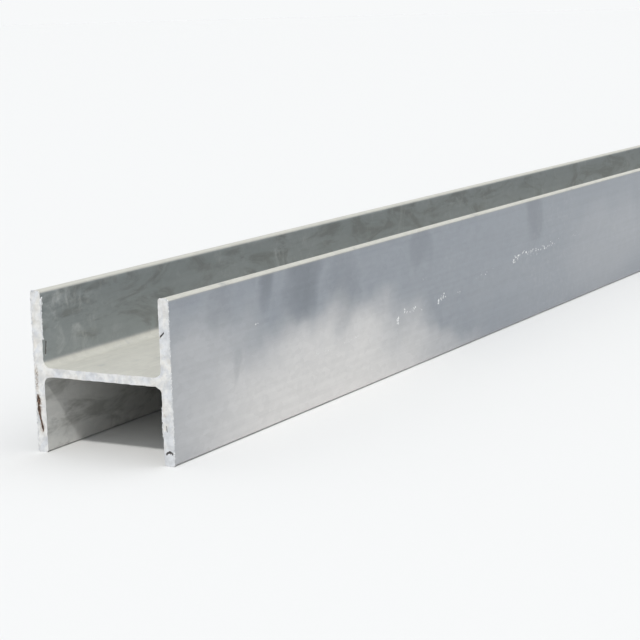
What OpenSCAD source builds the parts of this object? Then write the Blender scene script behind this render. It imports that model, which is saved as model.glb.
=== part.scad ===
// Hot-rolled wide-flange H-beam, hot-dip galvanised, as one bar of mill-length stock.
//
// The bar lies along X with its web level, as such bars are bundled, and rests on the tips of
// both flanges. The origin is halfway along the bar and halfway between the flanges, on the
// plane that the lower tips rest on. All sizes are in millimetres.

/* [Section] */
// Depth of the section, over the outer faces of both flanges
section_depth = 150; // [100:1:400]
// Width of each flange, from tip to tip
flange_width = 150; // [100:1:400]
// Thickness of each flange
flange_thickness = 10; // [6:0.5:24]
// Thickness of the web
web_thickness = 7; // [4:0.5:20]
// Radius of the fillets where the web meets the flanges
root_radius = 8; // [4:0.5:20]
// Radius of the rolled corners along the flange tips
tip_radius = 2.5; // [0.5:0.1:2.9]

/* [Stock] */
// Length of the bar, from sawn end to sawn end
stock_length = 6000; // [1000:50:12000]

/* [Hidden] */

// Facets of a full turn of the rolled corners and fillets
$fn = 96;

// Clear width of each trough, between the inner faces of the flanges
trough_width = section_depth - 2 * flange_thickness;
// Height of the web's middle plane above the resting plane
web_level = flange_width / 2;
// Height of the band that holds the web and the fillets above and below it
web_band = web_thickness + 2 * root_radius;

// Outline of a bar of the given size, centred, with its four corners rounded.
module rounded_bar(width, height, radius) {
    square([width - 2 * radius, height], center = true);
    square([width, height - 2 * radius], center = true);
    for (across = [-1, 1], up = [-1, 1])
        translate([across * (width / 2 - radius), up * (height / 2 - radius)])
            circle(radius);
}

// Section of one flange, standing on its lower tip.
module flange_section() {
    rounded_bar(flange_thickness, flange_width, tip_radius);
}

// Section of the trough on one side of the web, rounded where it meets web and flange.
module trough_section() {
    translate([0, (web_thickness + flange_width) / 2])
        rounded_bar(trough_width, flange_width, root_radius);
}

// Section of the web with its four root fillets, let into both flanges by half their thickness.
module web_section() {
    difference() {
        square([trough_width + flange_thickness, web_band], center = true);
        for (side = [0, 1])
            mirror([0, side])
                trough_section();
    }
}

// The whole H, centred, with the flanges upright and the web level.
module h_section() {
    web_section();
    for (side = [-1, 1])
        translate([side * (section_depth - flange_thickness) / 2, 0])
            flange_section();
}

// The rolled bar: one solid of constant section, square-cut at both ends.
module h_beam() {
    color("#9aa3ab")
        translate([0, 0, web_level])
            rotate([90, 0, 90])
                linear_extrude(height = stock_length, center = true)
                    h_section();
}

h_beam();
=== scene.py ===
"""Looks of a hot-dip galvanised H-beam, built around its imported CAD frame.

The bar lies along X with its web level. Every length is in metres, in the frame's own axes.
"""

import logging
import math
import random
from collections.abc import Iterable, Mapping, Sequence
from dataclasses import dataclass, field
from enum import Enum
from typing import Any, ClassVar

import bmesh
import bpy
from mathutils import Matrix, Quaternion, Vector, noise


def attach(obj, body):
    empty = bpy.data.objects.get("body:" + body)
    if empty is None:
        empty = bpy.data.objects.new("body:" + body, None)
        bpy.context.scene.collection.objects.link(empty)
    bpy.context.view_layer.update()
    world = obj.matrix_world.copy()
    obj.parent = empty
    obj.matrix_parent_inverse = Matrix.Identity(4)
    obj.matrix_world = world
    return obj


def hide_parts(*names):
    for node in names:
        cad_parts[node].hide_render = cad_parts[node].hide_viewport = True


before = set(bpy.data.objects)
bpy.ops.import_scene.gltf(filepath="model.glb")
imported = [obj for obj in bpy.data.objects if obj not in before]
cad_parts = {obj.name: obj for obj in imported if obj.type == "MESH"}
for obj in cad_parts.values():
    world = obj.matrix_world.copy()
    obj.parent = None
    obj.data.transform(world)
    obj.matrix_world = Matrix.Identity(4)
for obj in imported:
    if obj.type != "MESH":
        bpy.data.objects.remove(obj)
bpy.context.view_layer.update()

LOG = logging.getLogger("h_beam")
BAR_NODE = "h_beam"
BODY = "root"
MM = 0.001
RADIUS_ATTRIBUTE = "corner_radius"
SIZE_ATTRIBUTE = "lump_size"
SHARE_ATTRIBUTE = "lump_share"
OUTWARD_ATTRIBUTE = "outward"
QUAD = ((-1.0, -1.0), (1.0, -1.0), (1.0, 1.0), (-1.0, 1.0))
Colour = tuple[float, float, float]


# ---------------------------------------------------------------------------------------------
# Node trees
# ---------------------------------------------------------------------------------------------


class Wire:
    """One socket of a node tree, whose arithmetic adds Math nodes to that tree."""

    def __init__(self, graph: "Graph", socket: bpy.types.NodeSocket) -> None:
        """Keeps the socket and the graph that new nodes go to.

        Args:
            graph: The graph that holds the socket.
            socket: The output socket that this wire starts from.
        """
        self.graph = graph
        self.socket = socket

    def __add__(self, other: "Wire | float") -> "Wire":
        """Sum of this wire and another wire or number."""
        return self.graph.math("ADD", self, other)

    def __radd__(self, other: float) -> "Wire":
        """Sum of a number and this wire."""
        return self.graph.math("ADD", other, self)

    def __sub__(self, other: "Wire | float") -> "Wire":
        """This wire less another wire or number."""
        return self.graph.math("SUBTRACT", self, other)

    def __rsub__(self, other: float) -> "Wire":
        """A number less this wire."""
        return self.graph.math("SUBTRACT", other, self)

    def __mul__(self, other: "Wire | float") -> "Wire":
        """Product of this wire and another wire or number."""
        return self.graph.math("MULTIPLY", self, other)

    def __rmul__(self, other: float) -> "Wire":
        """Product of a number and this wire."""
        return self.graph.math("MULTIPLY", other, self)

    def __truediv__(self, other: "Wire | float") -> "Wire":
        """This wire divided by another wire or number."""
        return self.graph.math("DIVIDE", self, other)

    def __pow__(self, other: "Wire | float") -> "Wire":
        """This wire raised to a power."""
        return self.graph.math("POWER", self, other)

    def __abs__(self) -> "Wire":
        """This wire without its sign."""
        return self.graph.math("ABSOLUTE", self)

    def over(self, limit: "Wire | float") -> "Wire":
        """1 where this wire is over the limit, and 0 elsewhere."""
        return self.graph.math("GREATER_THAN", self, limit)

    def at_least(self, floor: "Wire | float") -> "Wire":
        """The larger of this wire and a floor."""
        return self.graph.math("MAXIMUM", self, floor)

    def step(self, low: "Wire | float", high: "Wire | float") -> "Wire":
        """A smooth step, from 0 at low to 1 at high.

        Args:
            low: The value where the step starts.
            high: The value where it ends, which may be below low.

        Returns:
            A wire from 0 to 1.
        """
        return self.graph.wire(
            "ShaderNodeMapRange",
            {"interpolation_type": "SMOOTHSTEP"},
            {"Value": self, "From Min": low, "From Max": high},
        )

    def between(self, low: float, high: float) -> "Wire":
        """This wire's 0 to 1 spread over low to high."""
        return self * (high - low) + low


class Graph:
    """Adds nodes to one shader or geometry tree and links them."""

    def __init__(self, tree: bpy.types.NodeTree) -> None:
        """Keeps the tree that the nodes go to."""
        self.tree = tree

    def node(
        self,
        kind: str,
        settings: Mapping[str, Any] | None = None,
        inputs: Mapping[str | int, Any] | None = None,
    ) -> bpy.types.Node:
        """Adds a node, sets it, and then fills or links its sockets.

        Args:
            kind: The node's type name.
            settings: Its properties, such as a Math node's operation.
            inputs: Numbers, colours, wires or lists of wires, by a socket's name or number.

        Returns:
            The new node.
        """
        node = self.tree.nodes.new(kind)
        for name, value in (settings or {}).items():
            setattr(node, name, value)
        for key, value in (inputs or {}).items():
            socket = self.socket(node.inputs, key)
            for item in value if isinstance(value, list) else [value]:
                if isinstance(item, Wire):
                    self.tree.links.new(item.socket, socket)
                else:
                    socket.default_value = item
        return node

    @staticmethod
    def socket(sockets: Any, key: str | int) -> bpy.types.NodeSocket:
        """The socket with this number, or the first one in use with this name."""
        if isinstance(key, int):
            return sockets[key]
        return next(s for s in sockets if s.name == key and s.enabled)

    def wire(
        self,
        kind: str,
        settings: Mapping[str, Any] | None = None,
        inputs: Mapping[str | int, Any] | None = None,
        output: str | int | None = None,
    ) -> Wire:
        """Adds a node and gives one of its outputs.

        Args:
            kind: The node's type name.
            settings: Its properties.
            inputs: What its sockets hold.
            output: The output's name or number; the first one in use if left out.

        Returns:
            A wire from that output.
        """
        node = self.node(kind, settings, inputs)
        if output is None:
            return Wire(self, next(s for s in node.outputs if s.enabled))
        return Wire(self, self.socket(node.outputs, output))

    def math(self, operation: str, *values: Wire | float) -> Wire:
        """A Math node on one, two or three values."""
        return self.wire("ShaderNodeMath", {"operation": operation}, dict(enumerate(values)))

    def vector(self, operation: str, *values: Any) -> Wire:
        """A Vector Math node on one or more vectors."""
        return self.wire("ShaderNodeVectorMath", {"operation": operation}, dict(enumerate(values)))

    def scaled(self, vector: Wire, by: Wire | float) -> Wire:
        """A vector times a number."""
        return self.wire("ShaderNodeVectorMath", {"operation": "SCALE"}, {0: vector, "Scale": by})

    def joined(self, x: Any = 0.0, y: Any = 0.0, z: Any = 0.0) -> Wire:
        """A vector made from its three parts."""
        return self.wire("ShaderNodeCombineXYZ", None, {"X": x, "Y": y, "Z": z})

    def split(self, vector: Wire) -> tuple[Wire, Wire, Wire]:
        """The three parts of a vector."""
        node = self.node("ShaderNodeSeparateXYZ", None, {0: vector})
        return tuple(Wire(self, out) for out in node.outputs)

    def blend(self, share: Wire, first: Any, second: Any, how: str = "MIX") -> Wire:
        """A colour mixed from two colours.

        Args:
            share: How much of the second colour, from 0 to 1.
            first: A colour or a wire.
            second: A colour or a wire.
            how: The Mix node's way of blending.

        Returns:
            A wire that carries the mixed colour.
        """
        return self.wire(
            "ShaderNodeMix",
            {"data_type": "RGBA", "blend_type": how},
            {"Factor": share, "A": opaque(first), "B": opaque(second)},
        )

    def noise(
        self, where: Wire, scale: float, detail: float = 2.0, roughness: float = 0.5, warp: float = 0.0
    ) -> Wire:
        """Smooth noise around 0.5.

        Args:
            where: The position that the noise is read at.
            scale: Features a metre, or a unit of the position.
            detail: How many finer layers are added.
            roughness: How strong the finer layers are.
            warp: How far the noise is dragged by itself.

        Returns:
            A wire from about 0 to 1.
        """
        return self.wire(
            "ShaderNodeTexNoise",
            None,
            {"Vector": where, "Scale": scale, "Detail": detail, "Roughness": roughness, "Distortion": warp},
        )

    def shake(self, where: Wire, scale: float, reach: Wire | float, detail: float = 2.0) -> Wire:
        """An offset that changes smoothly from place to place.

        Args:
            where: The position that the noise is read at.
            scale: Features a metre.
            reach: The whole range of the offset along each axis.
            detail: How many finer layers are added.

        Returns:
            A vector around zero.
        """
        values = {"Vector": where, "Scale": scale, "Detail": detail}
        colour = self.wire("ShaderNodeTexNoise", None, values, "Color")
        return self.scaled(self.vector("SUBTRACT", colour, (0.5, 0.5, 0.5)), reach)

    def bump(self, height: Wire, strength: float, distance: float) -> Wire:
        """The surface's direction, tilted by a relief."""
        values = {"Strength": strength, "Distance": distance, "Height": height}
        return self.wire("ShaderNodeBump", None, values)

    def attribute(self, name: str, kind: str = "FLOAT") -> Wire:
        """A named attribute of the geometry."""
        return self.wire("GeometryNodeInputNamedAttribute", {"data_type": kind}, {"Name": name})


def opaque(colour: Any) -> Any:
    """A colour of three numbers with full alpha added; a wire is left as it is."""
    return (*colour, 1.0) if isinstance(colour, tuple) and len(colour) == 3 else colour


# ---------------------------------------------------------------------------------------------
# Finishes
# ---------------------------------------------------------------------------------------------


class Finish:
    """A surface finish that makes its own material."""

    name: str

    def surface(self, graph: Graph) -> dict[str, Any]:
        """What the shader's sockets hold.

        Args:
            graph: The material's graph.

        Returns:
            Numbers, colours or wires, by the name of the shader's socket.
        """
        raise NotImplementedError

    def material(self) -> bpy.types.Material:
        """Builds the material.

        Returns:
            The new material, named after the finish.
        """
        material = bpy.data.materials.new(self.name)
        material.use_nodes = True
        material.node_tree.nodes.clear()
        graph = Graph(material.node_tree)
        shader = graph.wire("ShaderNodeBsdfPrincipled", None, self.surface(graph))
        graph.node("ShaderNodeOutputMaterial", None, {"Surface": shader})
        return material


def object_position(graph: Graph) -> Wire:
    """Position on the piece in its own axes, which are the frame's."""
    return graph.wire("ShaderNodeTexCoord", None, None, "Object")


@dataclass(frozen=True)
class Patch:
    """A soft-edged oval on a flat face, leaning by so much along for its height."""

    along: float
    level: float
    half_length: float
    half_height: float
    share: float = 1.0
    lean: float = 0.0

    def cover(self, along: Wire, level: Wire, rim: float, core: float) -> Wire:
        """The patch's share at each place.

        Args:
            along: How far along the face the place is.
            level: How high up it is.
            rim: Where the patch ends, as the square of the distance in half sizes.
            core: Where it starts to fade, in the same way.

        Returns:
            A wire that is 0 outside the rim and the patch's share inside the core.
        """
        up = level - self.level
        across = (along - self.along - up * self.lean) / self.half_length
        up = up / self.half_height
        return (across * across + up * up).step(rim, core) * self.share


@dataclass(frozen=True)
class RolledZinc(Finish):
    """Zinc coat on the rolled faces: satin, cloudy, with smudges, frost, dust and rolling lines, a painted
    reflection glow low on the front face, and painted shade and light on the inner faces.
    """

    half_length: float
    half_depth: float
    top: float
    name: str = "rolled_zinc"
    dull: Colour = (0.285, 0.312, 0.35)
    bright: Colour = (0.735, 0.72, 0.705)
    smudge: Colour = (0.19, 0.21, 0.235)
    frost: Colour = (0.60, 0.605, 0.61)
    dust: Colour = (0.66, 0.645, 0.575)
    # Inner faces: greenish grey, darker above the web as painted shade and paler below it as painted light
    # that brightens the shaded lower trough.
    upper_inner_painted_shade: Colour = (0.355, 0.385, 0.385)
    lower_inner_painted_light: Colour = (0.74, 0.735, 0.70)
    stain: Colour = (0.20, 0.205, 0.185)
    wash: Colour = (0.60, 0.615, 0.60)
    rim: float = 1.15
    core: float = 0.0
    # Painted reflection: pale glow patches on the front face near the near end, where a bright floor would
    # be reflected.
    painted_glow_patches: tuple[Patch, ...] = (
        Patch(0.28, 0.10, 0.27, 0.62, 1.0, 0.03),
        Patch(0.05, 0.25, 0.16, 0.75, 0.44),
        Patch(0.49, 0.0, 0.18, 0.26, 0.46, 0.05),
        Patch(1.10, 0.4, 0.20, 0.5, 0.12),
    )
    dark_patches: tuple[Patch, ...] = (
        Patch(0.242, 0.92, 0.042, 0.36, 0.85, 0.045),
        Patch(0.167, 1.0, 0.020, 0.26, 0.8, 0.02),
        Patch(0.318, 0.75, 0.035, 0.32, 0.35),
        Patch(0.085, 0.85, 0.030, 0.20, 0.3),
        Patch(0.111, 0.48, 0.008, 0.16, 0.25),
        Patch(0.50, 0.86, 0.030, 0.20, 0.45),
        Patch(0.83, 0.86, 0.035, 0.30, 0.6, 0.02),
    )

    def surface(self, graph: Graph) -> dict[str, Any]:
        """Tone with its painted reflection glow, painted inner-face shade and light, smudges, frost, dust,
        wash and rolling lines in colour, gloss and relief.
        """
        place = object_position(graph)
        x, y, z = graph.split(place)
        outer = abs(y).step(self.half_depth - 1.2 * MM, self.half_depth - 0.4 * MM)
        front = y.step(0.0, -0.01) * outer
        facing = graph.split(graph.wire("ShaderNodeNewGeometry", None, None, "Normal"))[2]
        flat = facing.step(0.0, 0.5)
        inner = (1.0 - outer) * (1.0 - flat)
        low = z.step(self.top * 0.5 + 5.0 * MM, self.top * 0.5 - 1.0 * MM)
        along = graph.joined(x * 0.35, y, z)
        lines = graph.noise(graph.joined(x * 1.6, y * 230.0, z * 230.0), 1.0, 3.0, 0.6)
        cells = {"Vector": graph.joined(x * 0.6, y, z), "Scale": 190.0}
        flake = graph.split(graph.wire("ShaderNodeTexVoronoi", None, cells, "Color"))[0]
        grain = graph.noise(place, 900.0, 2.0, 0.6)
        strayed = graph.vector("ADD", place, graph.shake(place, 16.0, 0.06))
        tone = self.tone(graph, strayed, front)
        smudges = self.smudges(graph, strayed, front) * outer
        frosted = self.frosted(graph, place)
        dusty = flat * graph.noise(place, 30.0, 4.0, 0.6).step(0.10, 0.40)
        blot = graph.noise(along, 34.0, 4.0, 0.65, 1.2).step(0.47, 0.66) * inner
        wash = self.wash_marks(graph, place) * inner
        # Painted shade above the web and painted light below it, on the inner faces.
        shade = graph.blend(low, self.upper_inner_painted_shade, self.lower_inner_painted_light)
        # The pale colour carries both the coat's cloudy tone and the painted reflection glow.
        colour = graph.blend(tone, self.dull, self.bright)
        colour = graph.blend(inner * 0.85, colour, shade)
        colour = graph.blend(smudges * 0.8, colour, self.smudge)
        colour = graph.blend(frosted * 0.35, colour, self.frost)
        colour = graph.blend(blot * 0.5, colour, self.stain)
        colour = graph.blend(wash * 0.65, colour, self.wash)
        colour = graph.blend(dusty * 0.9, colour, self.dust)
        shimmer = 0.91 + lines.between(-0.07, 0.07) + flake * 0.07 + grain * 0.08
        rough = 0.28 + frosted * 0.10 + flake * 0.05 + inner * 0.12
        relief = (
            graph.noise(along, 6.0, 1.0) * 1.6
            + graph.noise(along, 17.0, 1.0) * 0.35
            + lines * 0.05
            + flake * 0.012
            + grain * 0.012
            + frosted * 0.006
        )
        return {
            "Base Color": graph.scaled(colour, shimmer),
            "Metallic": 0.90 - dusty * 0.65 - inner * 0.4 - inner * low * 0.3 - wash * 0.2,
            "Roughness": rough + dusty * 0.28 + wash * 0.1,
            "Normal": graph.bump(relief, 0.6, 1.0 * MM),
        }

    def tone(self, graph: Graph, place: Wire, front: Wire) -> Wire:
        """How bright the coat is: slow clouds along the bar, with a painted reflection of a bright floor
        that is paler low down and in pale glow patches near the near end of the front face.
        """
        x, y, z = graph.split(place)
        slow = graph.noise(graph.joined(x * 1.1, y * 9.0, z * 3.5), 1.0, 2.0, 0.5)
        fine = graph.noise(graph.joined(x * 5.0, y * 40.0, z * 22.0), 1.0, 3.0, 0.55, 0.5)
        # Near the near end the clouds are held back and the glow patches are laid on, and the clouds fade
        # towards the top: painted reflection, paler low down.
        near = (x + self.half_length).step(2.2, 1.3) * front
        clouds = slow.step(0.42, 0.78) * (1.0 - z / self.top * 0.6) * (0.5 - near * 0.42)
        clouds = self.patched(self.painted_glow_patches, clouds, x, z, front)
        return clouds * 0.9 + fine.between(0.0, 0.12)

    def smudges(self, graph: Graph, place: Wire, front: Wire) -> Wire:
        """Dark soft tongues that hang down from the top edge of the outer faces."""
        x, _, z = graph.split(place)
        drift = graph.noise(graph.joined(x * 9.0, z * 5.0, 0.0), 1.0, 2.0, 0.5, 0.3)
        far = (x + self.half_length).step(1.1, 1.5) * front + (1.0 - front)
        marks = (drift + z / self.top * 0.30).step(0.76, 0.94) * far * 0.6
        return self.patched(self.dark_patches, marks, x, z, front)

    def patched(self, patches: Iterable[Patch], share: Wire, x: Wire, z: Wire, front: Wire) -> Wire:
        """Adds patches of the front face to a share.

        Args:
            patches: The patches, in metres from the near end and in shares of the height.
            share: The share that is there already.
            x: The place along the bar.
            z: Its height.
            front: 1 on the front face.

        Returns:
            The new share, still from 0 to 1.
        """
        for patch in patches:
            cover = patch.cover(x + self.half_length, z / self.top, self.rim, self.core)
            share = share + cover * front * (1.0 - share)
        return share

    def frosted(self, graph: Graph, place: Wire) -> Wire:
        """Patches where the coat has a pale, crackled frost."""
        patch = graph.noise(place, 5.5, 3.0, 0.6, 0.5).step(0.50, 0.66)
        crackle = graph.noise(place, 130.0, 5.0, 0.7, 0.6).step(0.44, 0.74)
        return patch * crackle * 0.6

    def wash_marks(self, graph: Graph, place: Wire) -> Wire:
        """Pale smears over the inner faces, with clouds near the ends."""
        x, y, z = graph.split(place)
        smear = graph.noise(graph.joined(x + z * 0.15, y, z * 0.7), 26.0, 5.0, 0.7, 1.4)
        cloud = graph.noise(place, 48.0, 4.0, 0.7, 0.4).step(0.48, 0.74)
        near_end = abs(x).step(self.half_length - 0.16, self.half_length - 0.02)
        return smear.step(0.54, 0.76) * 0.55 + cloud * near_end * 0.9


@dataclass(frozen=True)
class SawnEnd(Finish):
    """Zinc over a sawn face: pale, matt, with saw lines, specks and brown stains.

    The stains are on the near end only, and their places and sizes are in mm.
    """

    name: str = "sawn_end"
    pale: Colour = (0.785, 0.78, 0.76)
    cool: Colour = (0.69, 0.705, 0.725)
    warm: Colour = (0.75, 0.715, 0.65)
    speck: Colour = (0.36, 0.355, 0.35)
    rust: Colour = (0.30, 0.22, 0.15)
    saw_pitch: float = 1.3 * MM
    saw_tilt: float = 0.16
    rim: float = 1.0
    core: float = 0.2
    stains: tuple[Patch, ...] = (
        Patch(72.3, 44.0, 4.5, 15.0, 0.75),
        Patch(70.0, 24.0, 3.5, 8.0, 0.6),
        Patch(73.5, 69.0, 3.0, 15.0, 0.7),
        Patch(-66.7, 45.8, 2.2, 3.0, 0.35),
    )

    def surface(self, graph: Graph) -> dict[str, Any]:
        """Mottled pale colour, fine saw lines in relief and scattered specks."""
        place = object_position(graph)
        x, y, z = graph.split(place)
        mottle = graph.noise(place, 120.0, 4.0, 0.6)
        tint = graph.noise(place, 45.0, 3.0, 0.6, 0.8)
        rows = z + y * self.saw_tilt
        saw = graph.noise(graph.joined(x * 30.0, y * 22.0, rows / self.saw_pitch), 1.0, 3.0, 0.55)
        specks = 1.0 - graph.noise(place, 420.0, 4.0, 0.7).step(0.29, 0.38)
        colour = graph.blend(tint.step(0.42, 0.62), self.pale, self.cool)
        colour = graph.blend(tint.step(0.46, 0.30) * 0.55, colour, self.warm)
        colour = graph.blend(specks * 0.5, colour, self.speck)
        stained = graph.noise(place, 520.0, 4.0, 0.7).step(0.40, 0.60) * x.step(0.0, -0.01)
        for stain in self.stains:
            cover = stain.cover(y / MM, z / MM, self.rim, self.core)
            colour = graph.blend(cover * stained, colour, self.rust)
        tone = 0.84 + mottle.step(0.35, 0.65) * 0.19 + saw.between(-0.06, 0.06)
        relief = saw * 0.10 + mottle * 0.18 - specks * 0.12
        return {
            "Base Color": graph.scaled(colour, tone),
            "Metallic": 0.22,
            "Roughness": 0.52 + mottle * 0.16,
            "Normal": graph.bump(relief, 0.8, 1.0 * MM),
        }


@dataclass(frozen=True)
class PatchyFinish(Finish):
    """Two colours in small patches, with a gloss and a relief that follow them."""

    name: str
    first: Colour
    second: Colour
    scale: float
    metallic: float
    rough: float
    rougher: float = 0.2
    detail: float = 3.0
    fineness: float = 0.6
    low: float = 0.4
    high: float = 0.7
    relief: float = 0.0

    def surface(self, graph: Graph) -> dict[str, Any]:
        """The first colour, broken by patches of the second."""
        patch = graph.noise(object_position(graph), self.scale, self.detail, self.fineness)
        surface = {
            "Base Color": graph.blend(patch.step(self.low, self.high), self.first, self.second),
            "Metallic": self.metallic,
            "Roughness": self.rough + patch * self.rougher,
        }
        if self.relief:
            surface["Normal"] = graph.bump(patch, 0.7, self.relief)
        return surface


THICK_ZINC = PatchyFinish(
    name="zinc_bead",
    first=(0.80, 0.80, 0.795),
    second=(0.60, 0.615, 0.63),
    scale=160.0,
    low=0.35,
    high=0.65,
    metallic=0.45,
    rough=0.36,
)
WHITE_ZINC = PatchyFinish(
    name="white_fleck",
    first=(0.90, 0.90, 0.89),
    second=(0.70, 0.71, 0.72),
    scale=400.0,
    detail=2.0,
    metallic=0.1,
    rough=0.5,
)
BARE_STEEL = PatchyFinish(
    name="bare_nick",
    first=(0.10, 0.095, 0.09),
    second=(0.24, 0.235, 0.23),
    scale=700.0,
    metallic=0.5,
    rough=0.55,
)
RUST = PatchyFinish(
    name="rust",
    first=(0.065, 0.045, 0.035),
    second=(0.27, 0.17, 0.12),
    scale=620.0,
    detail=4.0,
    fineness=0.7,
    low=0.42,
    high=0.62,
    metallic=0.0,
    rough=0.82,
    rougher=0.12,
    relief=0.4 * MM,
)


@dataclass(frozen=True)
class StudioPaint(Finish):
    """Even matt paint of the studio floor."""

    name: str = "studio_floor"
    shade: Colour = (0.80, 0.80, 0.795)

    def surface(self, graph: Graph) -> dict[str, Any]:
        """One plain pale colour."""
        return {"Base Color": opaque(self.shade), "Roughness": 0.9, "Specular IOR Level": 0.1}


# ---------------------------------------------------------------------------------------------
# The bar's section
# ---------------------------------------------------------------------------------------------


@dataclass(frozen=True)
class Corner:
    """One corner of the section's outline, before it is rounded."""

    y: float
    z: float
    radius: float
    share: float


@dataclass(frozen=True)
class Section:
    """Sizes of the H section and the bar's length, read from the CAD node."""

    length: float
    depth: float
    width: float
    flange: float
    web: float
    root_radius: float
    tip_radius: float

    @classmethod
    def from_node(cls, node: bpy.types.Object) -> "Section":
        """Reads the sizes from the corners of the CAD node's mesh.

        Args:
            node: The CAD node's object.

        Returns:
            The section.
        """
        points = [vertex.co for vertex in node.data.vertices]
        low = Vector(map(min, *points))
        high = Vector(map(max, *points))
        middle = (low.z + high.z) / 2
        half_depth = high.y
        near = 0.01 * MM
        tops = [p.y for p in points if p.z > high.z - near and p.y > 0]
        faces = [p.z for p in points if p.y > half_depth - near]
        inner = min(tops) - (half_depth - max(tops))
        on_inner = [abs(p.z - middle) for p in points if abs(p.y - inner) < near]
        web_rise = min(abs(p.z - middle) for p in points)
        return cls(
            length=high.x - low.x,
            depth=high.y - low.y,
            width=high.z - low.z,
            flange=half_depth - inner,
            web=2 * web_rise,
            root_radius=min(on_inner) - web_rise,
            tip_radius=high.z - max(faces),
        )

    @property
    def web_level(self) -> float:
        """Height of the web's middle plane."""
        return self.width / 2

    @property
    def inner(self) -> float:
        """Distance from the middle plane to a flange's inner face."""
        return self.depth / 2 - self.flange

    def corners(self) -> list[Corner]:
        """The outline's twelve corners, counter-clockwise seen from +X.

        Returns:
            The corners, with how thick the zinc lumps lie along each.
        """
        half, low, high = self.depth / 2, 0.0, self.width
        under, over = self.web_level - self.web / 2, self.web_level + self.web / 2
        front = [
            Corner(-self.inner, over, self.root_radius, 0.35),
            Corner(-self.inner, high, self.tip_radius, 0.5),
            Corner(-half, high, self.tip_radius, 1.0),
            Corner(-half, low, self.tip_radius, 1.0),
            Corner(-self.inner, low, self.tip_radius, 0.5),
            Corner(-self.inner, under, self.root_radius, 0.35),
        ]
        back = [Corner(-c.y, 2 * self.web_level - c.z, c.radius, c.share) for c in front]
        return front + back


def edge_mesh(
    name: str,
    points: Sequence[Sequence[float]],
    edges: Sequence[tuple[int, int]],
    values: Mapping[str, Sequence[float]],
) -> bpy.types.Mesh:
    """Makes a mesh of edges with numbers at its points.

    Args:
        name: The new mesh's name.
        points: Where the points are.
        edges: The two points of each edge.
        values: Each attribute's number at every point.

    Returns:
        The mesh.
    """
    mesh = bpy.data.meshes.new(name)
    mesh.from_pydata(points, edges, [])
    for attribute, numbers in values.items():
        mesh.attributes.new(attribute, "FLOAT", "POINT").data.foreach_set("value", list(numbers))
    return mesh


def outline_mesh(name: str, section: Section, stations: Sequence[float]) -> bpy.types.Mesh:
    """The outline's corners as closed loops of edges, one loop for each place along the bar.

    Args:
        name: The new mesh's name.
        section: The section to outline.
        stations: Where along X the loops lie.

    Returns:
        A mesh of edges, with each corner's radius and its lumps' share and size as attributes.
    """
    corners = section.corners()
    count = len(corners)
    points = [(x, c.y, c.z) for x in stations for c in corners]
    edges = [(i, i - i % count + (i + 1) % count) for i in range(len(points))]
    shares = [c.share for c in corners] * len(stations)
    values = {
        RADIUS_ATTRIBUTE: [c.radius for c in corners] * len(stations),
        SHARE_ATTRIBUTE: shares,
        SIZE_ATTRIBUTE: [0.5 + 0.5 * share for share in shares],
    }
    return edge_mesh(name, points, edges, values)


def line_mesh(
    name: str, lines: Sequence[Sequence[Sequence[float]]], sizes: Sequence[float]
) -> bpy.types.Mesh:
    """Open lines of edges, for pieces that follow a path.

    Args:
        name: The new mesh's name.
        lines: Each line's points in order.
        sizes: How large the lumps are along each line.

    Returns:
        A mesh of edges whose share of lumps is 1 all along.
    """
    points: list[Sequence[float]] = []
    edges: list[tuple[int, int]] = []
    scale: list[float] = []
    for line, size in zip(lines, sizes):
        start = len(points)
        points += line
        edges += [(start + i, start + i + 1) for i in range(len(line) - 1)]
        scale += [size] * len(line)
    return edge_mesh(name, points, edges, {SHARE_ATTRIBUTE: [1.0] * len(points), SIZE_ATTRIBUTE: scale})


# ---------------------------------------------------------------------------------------------
# Geometry trees
# ---------------------------------------------------------------------------------------------


class Socket(Enum):
    """Kinds of input that a geometry tree takes."""

    FLOAT = "NodeSocketFloat"
    INTEGER = "NodeSocketInt"
    VECTOR = "NodeSocketVector"
    MATERIAL = "NodeSocketMaterial"
    OBJECT = "NodeSocketObject"


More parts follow.
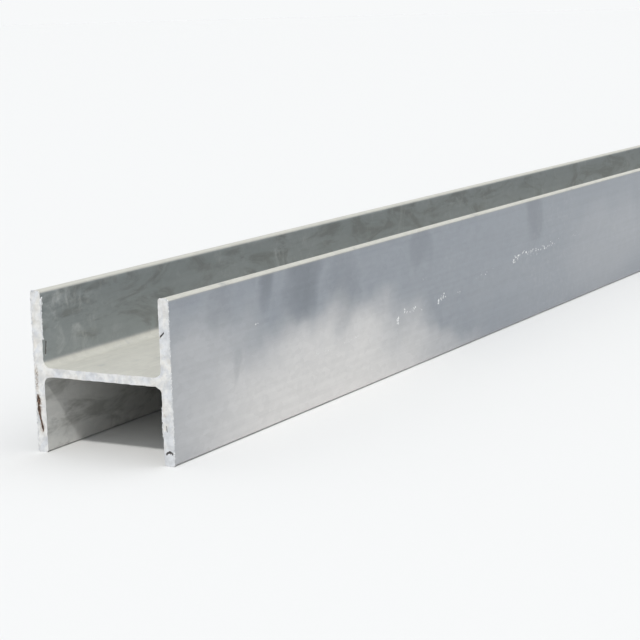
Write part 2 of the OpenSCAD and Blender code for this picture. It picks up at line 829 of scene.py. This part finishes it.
class GeometryTree:
    """A geometry tree with named inputs, which turns a line mesh into a finished mesh."""

    def __init__(self, name: str, inputs: Mapping[str, Socket]) -> None:
        """Makes the tree with its inputs and output.

        Args:
            name: The tree's name.
            inputs: The kind of each named input.
        """
        self.tree = bpy.data.node_groups.new(name, "GeometryNodeTree")
        face = self.tree.interface
        face.new_socket(name="Geometry", in_out="INPUT", socket_type="NodeSocketGeometry")
        for label, kind in inputs.items():
            face.new_socket(name=label, in_out="INPUT", socket_type=kind.value)
        face.new_socket(name="Geometry", in_out="OUTPUT", socket_type="NodeSocketGeometry")
        self.graph = Graph(self.tree)
        self.entry = self.tree.nodes.new("NodeGroupInput")

    def __getitem__(self, label: str) -> Wire:
        """The wire of one named input."""
        return Wire(self.graph, self.entry.outputs[label])

    def shape(
        self, kind: str, settings: Mapping[str, Any] | None = None, output: str | None = None, **inputs: Any
    ) -> Wire:
        """Adds a geometry node, with its sockets as keywords whose _ stands for a space.

        Args:
            kind: The node's type name, without GeometryNode.
            settings: Its properties.
            output: The output's name; the first one in use if left out.
            inputs: What its sockets hold.

        Returns:
            A wire from that output.
        """
        named = {name.replace("_", " "): value for name, value in inputs.items()}
        return self.graph.wire("GeometryNode" + kind, settings, named, output)

    def rounded(self, mesh: Wire, spacing: Wire) -> Wire:
        """A mesh's lines as curves, with rounded corners and evenly spaced points.

        Args:
            mesh: The geometry whose edges are the lines.
            spacing: The distance between points.

        Returns:
            The curves.
        """
        curve = self.shape("MeshToCurve", Mesh=mesh)
        radius = self.graph.attribute(RADIUS_ATTRIBUTE)
        curve = self.shape("FilletCurve", {"mode": "POLY"}, Curve=curve, Radius=radius, Count=12)
        return self.shape("ResampleCurve", {"mode": "LENGTH"}, Curve=curve, Length=spacing)

    def close(self, geometry: Wire) -> None:
        """Realizes what the tree made and hands it out.

        Args:
            geometry: The finished geometry, with its materials set.
        """
        real = self.shape("RealizeInstances", Geometry=geometry)
        self.graph.node("NodeGroupOutput", None, {"Geometry": real})

    def run(self, name: str, mesh: bpy.types.Mesh, values: Mapping[str, Any]) -> bpy.types.Object:
        """Runs the tree on a mesh and keeps the result as a plain mesh.

        Args:
            name: The new piece's name.
            mesh: What the tree starts from.
            values: A value for each named input.

        Returns:
            An object at the origin whose mesh is the tree's result.
        """
        source = bpy.data.objects.new(name + "_source", mesh)
        bpy.context.scene.collection.objects.link(source)
        modifier = source.modifiers.new("shape", "NODES")
        modifier.node_group = self.tree
        for item in self.tree.interface.items_tree:
            if item.in_out == "INPUT" and item.name in values:
                modifier[item.identifier] = values[item.name]
        bpy.context.view_layer.update()
        graph = bpy.context.evaluated_depsgraph_get()
        result = bpy.data.meshes.new_from_object(source.evaluated_get(graph), depsgraph=graph)
        result.name = name
        bpy.data.objects.remove(source)
        piece = bpy.data.objects.new(name, result)
        bpy.context.scene.collection.objects.link(piece)
        return piece


class BarSweep(GeometryTree):
    """Sweeps the outline along the bar, rounds the sawn arrises and wears them unevenly."""

    INPUTS: ClassVar[dict[str, Socket]] = {
        "Length": Socket.FLOAT,
        "Level": Socket.FLOAT,
        "Outline Step": Socket.FLOAT,
        "Half Stations": Socket.INTEGER,
        "Station Growth": Socket.FLOAT,
        "Arris Radius": Socket.FLOAT,
        "Arris Wear": Socket.FLOAT,
        "Wear Reach": Socket.FLOAT,
        "Camber": Socket.FLOAT,
        "Seed": Socket.FLOAT,
        "Nicks": Socket.OBJECT,
        "Skin": Socket.MATERIAL,
        "End": Socket.MATERIAL,
    }

    def __init__(self) -> None:
        """Builds the tree."""
        super().__init__("bar_sweep", self.INPUTS)
        profile = self.flattened(self.rounded(self["Geometry"], self["Outline Step"]))
        bar = self.shape("CurveToMesh", Curve=self.path(), Profile_Curve=profile, Fill_Caps=True)
        bar = self.dressed(self.worn(bar))
        bar = self.shape("Triangulate", Mesh=bar)
        nicks = self.shape("ObjectInfo", None, "Geometry", Object=self["Nicks"])
        joining = {"operation": "UNION", "solver": "EXACT"}
        nicks = self.shape("MeshBoolean", joining, "Mesh", Mesh=nicks, Self_Intersection=True)
        cutting = {"operation": "DIFFERENCE", "solver": "MANIFOLD"}
        self.close(self.shape("MeshBoolean", cutting, "Mesh", Mesh_1=bar, Mesh_2=nicks))

    def flattened(self, profile: Wire) -> Wire:
        """Lays the outline in the plane that a sweep reads, and notes which way is out.

        Args:
            profile: The rounded outline, standing across the bar.

        Returns:
            The outline centred on the web's middle, with its outward direction as an attribute.
        """
        graph = self.graph
        _, y, z = graph.split(self.shape("InputPosition"))
        flat = graph.joined(y, z - self["Level"], 0.0)
        profile = self.shape("SetPosition", Geometry=profile, Position=flat)
        along_y, along_z, _ = graph.split(self.shape("InputTangent"))
        outward = graph.joined(0.0, along_z, -1.0 * along_y)
        kind = {"data_type": "FLOAT_VECTOR", "domain": "POINT"}
        return self.shape(
            "StoreNamedAttribute", kind, Geometry=profile, Name=OUTWARD_ATTRIBUTE, Value=outward
        )

    def path(self) -> Wire:
        """The bar's middle line, with points that crowd towards both ends.

        Returns:
            A curve along X at the web's level.
        """
        graph = self.graph
        half = self["Half Stations"]
        counting = {"mode": "OFFSET", "count_mode": "TOTAL"}
        line = self.shape("MeshLine", counting, Count=half * 2.0 + 1.0)
        step = self.shape("InputIndex") - half
        from_end = half - abs(step)
        growth = self["Station Growth"]
        gap = self["Length"] * 0.5 * (growth**from_end - 1.0) / (growth**half - 1.0)
        x = graph.math("SIGN", step) * (self["Length"] * 0.5 - gap)
        place = graph.joined(x, 0.0, self["Level"])
        line = self.shape("SetPosition", Geometry=line, Position=place)
        curve = self.shape("MeshToCurve", Mesh=line)
        return self.shape("SetCurveNormal", {"mode": "Z_UP"}, Curve=curve)

    def worn(self, bar: Wire) -> Wire:
        """Rounds the arris of each sawn end, wears it unevenly and adds a slight camber.

        Args:
            bar: The swept bar.

        Returns:
            The bar with its points moved.
        """
        graph = self.graph
        place = self.shape("InputPosition")
        x, y, z = graph.split(place)
        gap = self["Length"] * 0.5 - abs(x)
        which = graph.math("SIGN", x) * 3.0 + self["Seed"]
        round_spots = graph.noise(graph.joined(which, y, z), 170.0, 2.0)
        radius = self["Arris Radius"] * round_spots.between(0.2, 1.9)
        deep = (radius - gap).at_least(0.0)
        inset = radius - graph.math("SQRT", (radius * radius - deep * deep).at_least(0.0))
        lumps = graph.noise(graph.vector("ADD", place, graph.joined(which, 0.0, 0.0)), 260.0, 3.0, 0.6)
        near_end = gap.step(self["Wear Reach"], 0.0)
        wear = (lumps - 0.5) * self["Arris Wear"] * 2.0 * near_end
        camber = (graph.noise(place, 1.7, 1.0) - 0.5) * self["Camber"] * 2.0
        outward = graph.attribute(OUTWARD_ATTRIBUTE, "FLOAT_VECTOR")
        return self.shape(
            "SetPosition", Geometry=bar, Offset=graph.scaled(outward, camber + wear - inset)
        )

    def dressed(self, bar: Wire) -> Wire:
        """Gives the rolled faces and the sawn faces their finishes and their shading.

        Args:
            bar: The worn bar.

        Returns:
            The bar with both materials.
        """
        facing = abs(self.graph.split(self.shape("InputNormal"))[0])
        smooth = 1.0 - facing.over(0.999)
        bar = self.shape("SetMaterial", Geometry=bar, Material=self["Skin"])
        bar = self.shape("SetMaterial", Geometry=bar, Selection=facing.over(0.55), Material=self["End"])
        return self.shape("SetShadeSmooth", {"domain": "FACE"}, Geometry=bar, Shade_Smooth=smooth)


class LumpScatter(GeometryTree):
    """Scatters small uneven lumps along lines."""

    INPUTS: ClassVar[dict[str, Socket]] = {
        "Spacing": Socket.FLOAT,
        "Size": Socket.VECTOR,
        "Smallest": Socket.FLOAT,
        "Spread": Socket.VECTOR,
        "Patch Scale": Socket.FLOAT,
        "Bare Share": Socket.FLOAT,
        "Unevenness": Socket.FLOAT,
        "Turn": Socket.VECTOR,
        "Seed": Socket.INTEGER,
        "Finish": Socket.MATERIAL,
    }

    def __init__(self) -> None:
        """Builds the tree."""
        super().__init__("lump_scatter", self.INPUTS)
        graph = self.graph
        curve = self.rounded(self["Geometry"], self["Spacing"])
        place = self.shape("InputPosition")
        patch = graph.noise(place, self["Patch Scale"], 2.0, 0.6) * graph.attribute(SHARE_ATTRIBUTE)
        smallest = graph.scaled(self["Size"], self["Smallest"])
        size = self.chance(smallest, self["Size"], 1.0)
        lumps = self.shape(
            "InstanceOnPoints",
            Points=self.shape("SetPosition", Geometry=curve, Offset=self.either_way("Spread", 2.0)),
            Selection=patch.over(self["Bare Share"]),
            Instance=self.shape("MeshIcoSphere", None, "Mesh", Radius=1.0, Subdivisions=2),
            Rotation=self.turned(),
            Scale=graph.scaled(size, graph.attribute(SIZE_ATTRIBUTE)),
        )
        lumps = self.shape("RealizeInstances", Geometry=lumps)
        shove = graph.shake(place, 700.0, self["Unevenness"], 1.0)
        lumps = self.shape("SetPosition", Geometry=lumps, Offset=shove)
        lumps = self.shape("SetShadeSmooth", {"domain": "FACE"}, Geometry=lumps)
        self.close(self.shape("SetMaterial", Geometry=lumps, Material=self["Finish"]))

    def chance(self, low: Wire, high: Wire, salt: float) -> Wire:
        """A random vector for each lump, between two vectors."""
        values = {"Min": low, "Max": high, "Seed": self["Seed"] + salt}
        return self.graph.wire("FunctionNodeRandomValue", {"data_type": "FLOAT_VECTOR"}, values)

    def either_way(self, label: str, salt: float) -> Wire:
        """A random vector for each lump, up to a named input either way."""
        return self.chance(self.graph.scaled(self[label], -1.0), self[label], salt)

    def turned(self) -> Wire:
        """Each lump's rotation: along its line, then turned at random.

        Returns:
            A wire that carries the rotation.
        """
        wire = self.graph.wire
        tangent = self.shape("InputTangent")
        along = wire("FunctionNodeAlignRotationToVector", {"axis": "X"}, {"Vector": tangent})
        turn = wire("FunctionNodeEulerToRotation", None, {"Euler": self.either_way("Turn", 3.0)})
        values = {"Rotation": along, "Rotate By": turn}
        return wire("FunctionNodeRotateRotation", {"rotation_space": "LOCAL"}, values)


# ---------------------------------------------------------------------------------------------
# The bar's pieces
# ---------------------------------------------------------------------------------------------


def keep(piece: bpy.types.Object, *nodes: str) -> bpy.types.Object:
    """Puts a finished piece on the bar's body and reports it.

    Args:
        piece: The piece, in place.
        nodes: The CAD nodes that it stands for.

    Returns:
        The same piece.
    """
    if nodes:
        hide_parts(*nodes)
    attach(piece, BODY)
    LOG.info("%s: %d faces", piece.name, len(piece.data.polygons))
    return piece


@dataclass(frozen=True)
class Finishes:
    """The bar's materials, each made once."""

    skin: bpy.types.Material
    end: bpy.types.Material
    bead: bpy.types.Material
    fleck: bpy.types.Material
    rust: bpy.types.Material
    nick: bpy.types.Material

    @classmethod
    def for_section(cls, section: Section) -> "Finishes":
        """Makes the materials for a bar of this section."""
        skin = RolledZinc(section.length / 2, section.depth / 2, section.width)
        return cls(
            skin=skin.material(),
            end=SawnEnd().material(),
            bead=THICK_ZINC.material(),
            fleck=WHITE_ZINC.material(),
            rust=RUST.material(),
            nick=BARE_STEEL.material(),
        )


@dataclass(frozen=True)
class Nick:
    """A flaw cut into the near end: a chain of pits along a path.

    Each place on the path is how far in from the sawn face, y, z and half the width, in mm.
    """

    path: tuple[tuple[float, float, float, float], ...]
    step: float = 1.1
    height: float = 1.0
    depth: float = 1.2
    rusty: bool = False

    def pits(self) -> list[tuple[Vector, float]]:
        """The middle and half width of every pit, in mm, evenly spaced along the path."""
        places = []
        for first, second in zip(self.path, self.path[1:]):
            start, stop = Vector(first), Vector(second)
            count = max(1, round((stop - start).length / self.step))
            places += [start.lerp(stop, i / count) for i in range(count)]
        places.append(Vector(self.path[-1]))
        return [(place.to_3d(), place.w) for place in places]


@dataclass
class NearEndFlaws:
    """The lap, pits, gouge and groove of the near end, as solids that are cut away."""

    section: Section
    finishes: Finishes
    lap: ClassVar[Nick] = Nick(
        (
            (0.0, 73.0, 53.0, 0.6),
            (0.0, 72.6, 50.0, 1.8),
            (0.0, 72.2, 47.0, 2.3),
            (0.0, 72.6, 43.5, 1.0),
            (0.0, 72.5, 40.0, 2.0),
            (0.0, 72.2, 37.0, 1.5),
            (0.0, 71.6, 33.5, 1.0),
            (0.0, 70.3, 27.0, 1.1),
            (0.0, 69.5, 23.5, 1.5),
            (0.0, 69.1, 20.0, 0.6),
        ),
        height=1.3,
        depth=1.1,
        rusty=True,
    )
    lap_specks: ClassVar[Nick] = Nick(
        ((0.0, 73.3, 73.0, 0.35), (0.0, 72.8, 64.0, 0.4)), step=3.0, height=0.7, depth=0.5, rusty=True
    )
    pit: ClassVar[Nick] = Nick(
        (
            (0.0, -66.8, 10.6, 0.7),
            (0.0, -68.0, 12.0, 1.1),
            (0.0, -70.2, 12.6, 1.4),
            (0.0, -72.2, 12.2, 1.0),
            (0.0, -73.2, 11.2, 0.7),
        )
    )
    gouge: ClassVar[Nick] = Nick(
        ((0.0, -64.6, 115.0, 0.5), (0.0, -66.5, 116.9, 0.6), (0.0, -69.3, 119.7, 0.35)), step=0.7
    )
    scrape: ClassVar[Nick] = Nick(
        ((0.0, -68.0, 35.4, 0.45), (0.0, -68.4, 31.6, 0.4)), height=1.2, depth=0.5
    )
    groove: ClassVar[Nick] = Nick(
        ((6.0, 65.0, 102.0, 0.5), (5.2, 65.0, 97.0, 0.8), (4.6, 65.0, 92.0, 0.6)), height=1.4, depth=0.9
    )

    def cutters(self) -> bpy.types.Object:
        """Makes every flaw's cutting solids as one mesh object.

        Returns:
            The cutters, with the material that each leaves on the cut.
        """
        mesh = bpy.data.meshes.new("nick_cutters")
        mesh.materials.append(self.finishes.rust)
        mesh.materials.append(self.finishes.nick)
        solids = bmesh.new()
        for nick in (self.lap, self.lap_specks, self.pit, self.gouge, self.scrape, self.groove):
            for middle, half_width in nick.pits():
                self.add_pit(solids, middle, half_width, nick)
        solids.to_mesh(mesh)
        solids.free()
        cutters = bpy.data.objects.new("nick_cutters", mesh)
        bpy.context.scene.collection.objects.link(cutters)
        return cutters

    def add_pit(
        self, solids: bmesh.types.BMesh, middle: Vector, half_width: float, nick: Nick
    ) -> None:
        """Adds one uneven pit.

        Args:
            solids: The mesh that the pit is added to.
            middle: Its middle, in mm from the near end.
            half_width: Half its width, in mm.
            nick: The flaw that it belongs to.
        """
        centre = Vector((-self.section.length / 2, 0.0, 0.0)) + middle * MM
        size = Vector((nick.depth, half_width, max(half_width, nick.height))) * MM
        ball = bmesh.ops.create_icosphere(solids, subdivisions=2, radius=1.0)["verts"]
        for vertex in ball:
            point = centre + vertex.co * size
            uneven = noise.noise_vector(point * 700.0) * half_width * MM * 0.5
            vertex.co = point + uneven
        for shape in {shape for vertex in ball for shape in vertex.link_faces}:
            shape.material_index = 0 if nick.rusty else 1
            shape.smooth = True


@dataclass
class Bar:
    """The rolled bar itself, swept from its section, with worn sawn ends."""

    section: Section
    finishes: Finishes
    outline_step: float = 1.6 * MM
    half_stations: int = 76
    station_growth: float = 1.1
    arris_radius: float = 0.5 * MM
    arris_wear: float = 0.95 * MM
    wear_reach: float = 5.0 * MM
    camber: float = 0.25 * MM
    seed: float = 4.0

    def build(self) -> bpy.types.Object:
        """Sweeps the section, cuts the near end's flaws and keeps the result.

        Returns:
            The bar's piece.
        """
        cutters = NearEndFlaws(self.section, self.finishes).cutters()
        mesh = outline_mesh("bar_outline", self.section, [0.0])
        piece = BarSweep().run(
            "rolled_bar",
            mesh,
            {
                "Length": self.section.length,
                "Level": self.section.web_level,
                "Outline Step": self.outline_step,
                "Half Stations": self.half_stations,
                "Station Growth": self.station_growth,
                "Arris Radius": self.arris_radius,
                "Arris Wear": self.arris_wear,
                "Wear Reach": self.wear_reach,
                "Camber": self.camber,
                "Seed": self.seed,
                "Nicks": cutters,
                "Skin": self.finishes.skin,
                "End": self.finishes.end,
            },
        )
        bpy.data.objects.remove(cutters)
        return keep(piece, BAR_NODE)


@dataclass(frozen=True)
class Scuff:
    """A streak of flecks on an outer face, from one place to another, with their spread in mm."""

    start: float
    level: float
    stop: float
    stop_level: float
    count: int
    size: float
    stray: float


@dataclass
class ZincDetails:
    """Beads, burrs, flecks and rust that stand on the bar."""

    section: Section
    finishes: Finishes
    scuffs: tuple[Scuff, ...] = (
        Scuff(0.436, 0.37, 0.445, 0.42, 7, 1.0, 1.6),
        Scuff(0.455, 0.42, 0.480, 0.43, 10, 1.0, 1.6),
        Scuff(0.480, 0.41, 0.505, 0.41, 5, 0.6, 1.8),
        Scuff(0.538, 0.42, 0.558, 0.45, 11, 1.0, 1.9),
        Scuff(0.590, 0.44, 0.603, 0.46, 6, 0.7, 2.0),
        Scuff(0.640, 0.49, 0.700, 0.52, 5, 0.55, 1.5),
        Scuff(0.755, 0.54, 0.800, 0.57, 22, 0.85, 2.0),
        Scuff(0.800, 0.55, 0.910, 0.57, 34, 0.6, 2.2),
        Scuff(0.930, 0.57, 0.985, 0.58, 6, 0.4, 1.5),
        Scuff(0.146, 0.69, 0.148, 0.71, 3, 0.45, 0.9),
        Scuff(0.255, 0.36, 0.310, 0.36, 22, 0.38, 0.5),
        Scuff(0.310, 0.36, 0.350, 0.38, 16, 0.34, 0.3),
        Scuff(0.495, 0.62, 0.510, 0.63, 2, 0.4, 1.0),
    )
    seed: int = 11
    lumps: LumpScatter = field(default_factory=LumpScatter)

    def beads(self) -> bpy.types.Object:
        """Small zinc beads and saw burrs along the arrises of both sawn ends."""
        half = self.section.length / 2
        mesh = outline_mesh("bead_lines", self.section, [-half, half])
        return self.scattered(
            "arris_beads",
            mesh,
            self.finishes.bead,
            {
                "Spacing": 1.5 * MM,
                "Size": Vector((1.5, 1.0, 0.95)) * MM,
                "Spread": Vector((0.3, 0.2, 0.2)) * MM,
                "Patch Scale": 190.0,
                "Bare Share": 0.45,
                "Turn": Vector((3.1, 0.4, 0.4)),
            },
        )

    def burrs(self) -> bpy.types.Object:
        """The near end's larger lumps: a ridge inside the back flange, a sliver inside the front."""
        near = -self.section.length / 2
        inner = self.section.inner
        ridge = [(near + 0.6 * MM, inner - 0.7 * MM, z * MM) for z in (143.0, 126.0, 106.0)]
        lump = [(near + 0.5 * MM, inner - 1.2 * MM, z * MM) for z in (142.5, 138.0)]
        sliver = [(near, 0.8 * MM - inner, z * MM) for z in (52.0, 40.0, 27.0)]
        return self.scattered(
            "end_burrs",
            line_mesh("burr_lines", [ridge, lump, sliver], [1.0, 1.9, 0.9]),
            self.finishes.bead,
            {
                "Spacing": 1.1 * MM,
                "Size": Vector((1.6, 0.9, 1.1)) * MM,
                "Spread": Vector((0.2, 0.35, 0.2)) * MM,
                "Patch Scale": 120.0,
                "Bare Share": 0.30,
                "Turn": Vector((0.6, 0.3, 0.3)),
                "Smallest": 0.5,
            },
        )

    def flecks(self) -> bpy.types.Object:
        """Scuffed white flecks in short streaks on the outer faces."""
        half = self.section.depth / 2
        near = -self.section.length / 2
        chance = random.Random(self.seed)
        streaks = [(-half, scuff) for scuff in self.scuffs]
        for side in (-half, half):
            for _ in range(26):
                start = chance.uniform(1.15 if side < 0 else 0.1, self.section.length - 0.25)
                level = chance.uniform(0.2, 0.85)
                reach = chance.uniform(0.005, 0.12)
                count = chance.randint(2, 22)
                size = chance.uniform(0.35, 0.95)
                scuff = Scuff(start, level, start + reach, level + reach * 0.3, count, size, 1.6)
                streaks.append((side, scuff))
        lines, sizes = [], []
        for side, scuff in streaks:
            for _ in range(scuff.count):
                share = chance.random()
                x = scuff.start + (scuff.stop - scuff.start) * share + chance.gauss(0.0, scuff.stray * MM)
                level = scuff.level + (scuff.stop_level - scuff.level) * share
                z = level * self.section.width + chance.gauss(0.0, scuff.stray * MM)
                lines.append([(near + x, side, z), (near + x + 0.6 * MM, side, z)])
                sizes.append(scuff.size * chance.uniform(0.4, 1.0))
        return self.scattered(
            "zinc_flecks",
            line_mesh("fleck_lines", lines, sizes),
            self.finishes.fleck,
            {
                "Spacing": 2.0 * MM,
                "Size": Vector((2.3, 0.16, 1.7)) * MM,
                "Spread": Vector((0.6, 0.0, 0.8)) * MM,
                "Patch Scale": 34.0,
                "Bare Share": 0.0,
                "Turn": Vector((0.0, 0.8, 0.0)),
                "Smallest": 0.4,
            },
        )

    def rust_crumbs(self) -> bpy.types.Object:
        """Crumbs of rust in the lap of the near end's back flange."""
        near = -self.section.length / 2
        places = [Vector(place) for place in NearEndFlaws.lap.path]
        line = [(near + 0.7 * MM, place.y * MM, place.z * MM) for place in places]
        return self.scattered(
            "lap_rust",
            line_mesh("rust_line", [line], [1.0]),
            self.finishes.rust,
            {
                "Spacing": 0.6 * MM,
                "Size": Vector((0.6, 0.5, 0.5)) * MM,
                "Spread": Vector((0.25, 0.7, 0.4)) * MM,
                "Patch Scale": 300.0,
                "Bare Share": 0.40,
                "Turn": Vector((3.1, 3.1, 3.1)),
            },
        )

    def scattered(
        self, name: str, mesh: bpy.types.Mesh, finish: bpy.types.Material, values: Mapping[str, Any]
    ) -> bpy.types.Object:
        """Scatters lumps along a mesh's lines and keeps the piece.

        Args:
            name: The piece's name.
            mesh: The lines.
            finish: The lumps' material.
            values: The scatter's own inputs.

        Returns:
            The piece.
        """
        shared = {"Smallest": 0.3, "Unevenness": 0.5 * MM, "Seed": self.seed, "Finish": finish}
        return keep(self.lumps.run(name, mesh, {**shared, **values}))


# ---------------------------------------------------------------------------------------------
# Studio
# ---------------------------------------------------------------------------------------------


@dataclass(frozen=True)
class Lamp:
    """A far, wide lamp that lights the whole bar evenly."""

    name: str
    azimuth: float
    elevation: float
    strength: float
    width: float
    colour: Colour

    def build(self) -> bpy.types.Object:
        """Makes the lamp, aimed at the frame's origin.

        Returns:
            The lamp's object.
        """
        data = bpy.data.lights.new(self.name, "SUN")
        data.energy = self.strength
        data.angle = math.radians(self.width)
        data.color = self.colour
        lamp = bpy.data.objects.new(self.name, data)
        turn, rise = math.radians(self.azimuth), math.radians(self.elevation)
        away = Vector(
            (math.sin(turn) * math.cos(rise), -math.cos(turn) * math.cos(rise), math.sin(rise))
        )
        lamp.location = away * 8.0
        lamp.rotation_euler = away.to_track_quat("Z", "Y").to_euler()
        bpy.context.scene.collection.objects.link(lamp)
        return lamp


@dataclass
class Studio:
    """Pale floor, even sky and two wide lamps."""

    reach: float = 60.0
    gap_below: float = 0.3 * MM
    horizon: Colour = (0.50, 0.52, 0.55)
    zenith: Colour = (0.70, 0.72, 0.74)
    seen: Colour = (0.932, 0.944, 0.949)
    key: Lamp = Lamp("key", -66.0, 52.0, 1.75, 5.0, (1.0, 0.985, 0.96))
    fill: Lamp = Lamp("fill", 60.0, 55.0, 0.35, 60.0, (0.95, 0.98, 1.0))

    def build(self) -> None:
        """Makes the floor, the sky and the lamps."""
        self.floor()
        self.sky()
        self.key.build()
        self.fill.build()

    def floor(self) -> None:
        """Lays the floor just under the bar."""
        mesh = bpy.data.meshes.new("floor")
        corners = [(x * self.reach, y * self.reach, -self.gap_below) for x, y in QUAD]
        mesh.from_pydata(corners, [], [(0, 1, 2, 3)])
        mesh.materials.append(StudioPaint().material())
        floor = bpy.data.objects.new("floor", mesh)
        bpy.context.scene.collection.objects.link(floor)

    def sky(self) -> None:
        """Sets a soft sky that is paler overhead, with an even pale backdrop behind the floor."""
        world = bpy.data.worlds.new("studio")
        bpy.context.scene.world = world
        world.use_nodes = True
        world.node_tree.nodes.clear()
        graph = Graph(world.node_tree)
        height = graph.split(graph.wire("ShaderNodeTexCoord", None, None, "Generated"))[2]
        light = graph.blend(height.step(0.0, 0.9), self.horizon, self.zenith)
        seen = graph.wire("ShaderNodeLightPath", None, None, "Is Camera Ray")
        colour = graph.blend(seen, light, self.seen)
        shine = graph.wire("ShaderNodeBackground", None, {"Color": colour, "Strength": 1.0})
        graph.node("ShaderNodeOutputWorld", None, {"Surface": shine})


@dataclass
class Viewpoint:
    """Camera that stands off the near end, a little above the bar, and looks along it."""

    section: Section
    stand_off: float = 1.591
    bearing: float = 36.62
    rise: float = 0.321
    aim_along: float = 0.400
    aim_level: float = 0.0607
    roll: float = -1.71
    lens: float = 101.2

    def build(self) -> None:
        """Makes the camera and sets it as the scene's."""
        near = Vector((-self.section.length / 2, 0.0, self.section.web_level))
        turn = math.radians(self.bearing)
        back = Vector((-math.cos(turn), -math.sin(turn), 0.0)) * self.stand_off
        place = near + back + Vector((0.0, 0.0, self.rise))
        aim = Vector((near.x + self.aim_along, 0.0, self.aim_level))
        data = bpy.data.cameras.new("view")
        data.lens = self.lens
        data.clip_start = 0.05
        data.clip_end = 500.0
        camera = bpy.data.objects.new("view", data)
        camera.location = place
        level = (place - aim).to_track_quat("Z", "Y")
        camera.rotation_euler = (level @ Quaternion((0, 0, 1), math.radians(self.roll))).to_euler()
        bpy.context.scene.collection.objects.link(camera)
        bpy.context.scene.camera = camera


def main() -> None:
    """Builds the bar, its zinc details and the studio around it."""
    logging.basicConfig(level=logging.INFO, format="%(asctime)s %(name)s: %(message)s")
    bpy.context.scene.view_settings.view_transform = "Standard"
    section = Section.from_node(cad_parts[BAR_NODE])
    LOG.info("%s", section)
    Viewpoint(section).build()
    Studio().build()
    finishes = Finishes.for_section(section)
    Bar(section, finishes).build()
    details = ZincDetails(section, finishes)
    details.beads()
    details.burrs()
    details.flecks()
    details.rust_crumbs()


if __name__ == "__main__":
    main()
